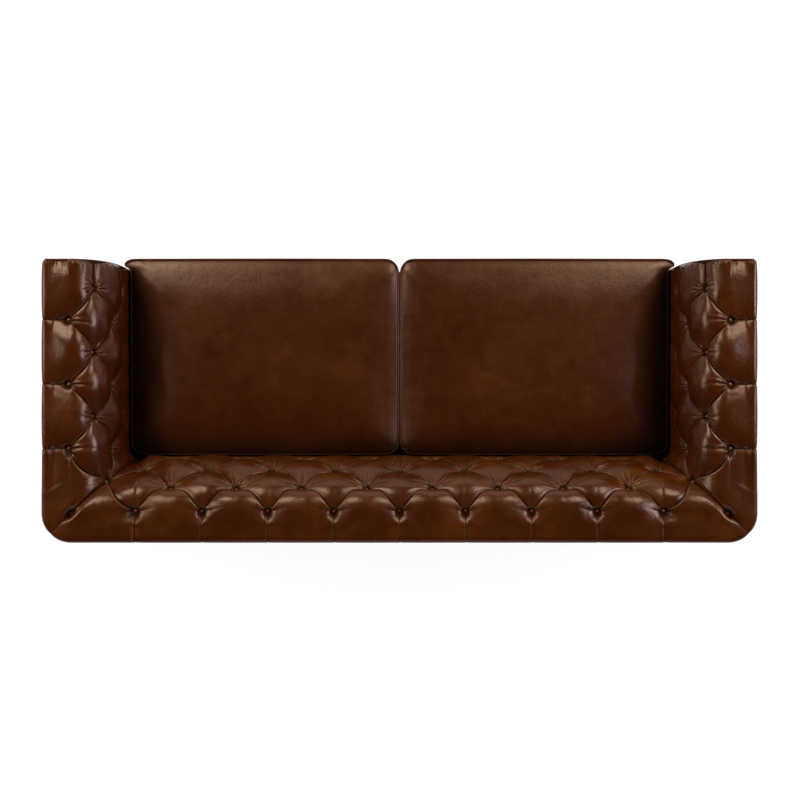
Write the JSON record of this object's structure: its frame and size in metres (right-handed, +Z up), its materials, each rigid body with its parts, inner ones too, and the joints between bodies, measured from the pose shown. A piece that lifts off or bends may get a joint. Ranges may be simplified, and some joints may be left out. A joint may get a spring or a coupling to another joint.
{
  "type": "tufted leather sofa",
  "caption": "Even-arm sofa in dark brown leather with button-tufted arms and back and loose box seat cushions on short tapered legs.",
  "frame": {"origin": "on the floor, under the middle of the sofa's bounding box", "axes": "+X to the right of someone facing the sofa, the front faces -Y, +Z up"},
  "size_m": [2.29, 0.932, 0.74],
  "materials": {
    "leather": "glossy pull-up, dark reddish brown",
    "frame_wood": "bare hardwood",
    "leg_wood": "dark stained satin",
    "fibreboard": "bare board",
    "steel": "zinc plated",
    "zip_metal": "antique",
    "jute": "woven",
    "foam": "open cell foam",
    "wadding": "soft fibre",
    "black_cloth": "non-woven",
    "glide_plastic": "matte"
  },
  "bodies": {
    "sofa_body": {"front_rail": "frame_wood", "rear_rail": "frame_wood", "side_rails": "frame_wood", "seat_stretchers": "frame_wood", "front_rail_pad": "foam", "corner_blocks": "frame_wood", "left_arm_posts": "frame_wood", "right_arm_posts": "frame_wood", "rear_corner_posts": "frame_wood", "back_posts": "frame_wood", "left_arm_top_rail": "frame_wood", "right_arm_top_rail": "frame_wood", "back_top_rail": "frame_wood", "arm_tack_rails": "frame_wood", "back_tack_rails": "frame_wood", "seat_springs": "steel", "spring_clips": "steel", "spring_tie_wires": "steel", "back_webbing": "jute", "arm_webbing": "jute", "back_hessian": "jute", "arm_hessian": "jute", "outside_back_board": "fibreboard", "outside_arm_boards": "fibreboard", "back_foam": "foam", "left_arm_foam": "foam", "right_arm_foam": "foam", "deck_pad": "foam", "deck_cloth": "black_cloth", "inside_back_cover": "leather", "left_inside_arm_cover": "leather", "right_inside_arm_cover": "leather", "outside_back_cover": "leather", "left_outside_arm_cover": "leather", "right_outside_arm_cover": "leather", "front_rail_cover": "leather", "left_arm_facing": "leather", "right_arm_facing": "leather", "facing_welts": "leather", "dust_cover": "black_cloth", "back_buttons": "leather", "left_arm_buttons": "leather", "right_arm_buttons": "leather", "tufting_twine": "jute", "legs": "leg_wood", "hanger_bolts": "steel", "t_nuts": "steel", "leg_glides": "glide_plastic"},
    "left_seat_cushion": {"left_cushion_cover": "leather", "left_cushion_wrap": "wadding", "left_cushion_core": "foam", "left_cushion_welts": "leather", "left_cushion_zip": "black_cloth"},
    "right_seat_cushion": {"right_cushion_cover": "leather", "right_cushion_wrap": "wadding", "right_cushion_core": "foam", "right_cushion_welts": "leather", "right_cushion_zip": "black_cloth"},
    "left_zip_pull": {"left_zip_slider": "zip_metal"},
    "right_zip_pull": {"right_zip_slider": "zip_metal"}
  },
  "joints": [
    {"name": "left_cushion_lift", "type": "slide", "parent": "sofa_body", "child": "left_seat_cushion", "axis": [0, 0, 1], "range_m": [0, 0.5]},
    {"name": "right_cushion_lift", "type": "slide", "parent": "sofa_body", "child": "right_seat_cushion", "axis": [0, 0, 1], "range_m": [0, 0.5]},
    {"name": "left_zip_slide", "type": "slide", "parent": "left_seat_cushion", "child": "left_zip_pull", "axis": [1, 0, 0], "range_m": [0, 0.66]},
    {"name": "right_zip_slide", "type": "slide", "parent": "right_seat_cushion", "child": "right_zip_pull", "axis": [-1, 0, 0], "range_m": [0, 0.66]}
  ]
}
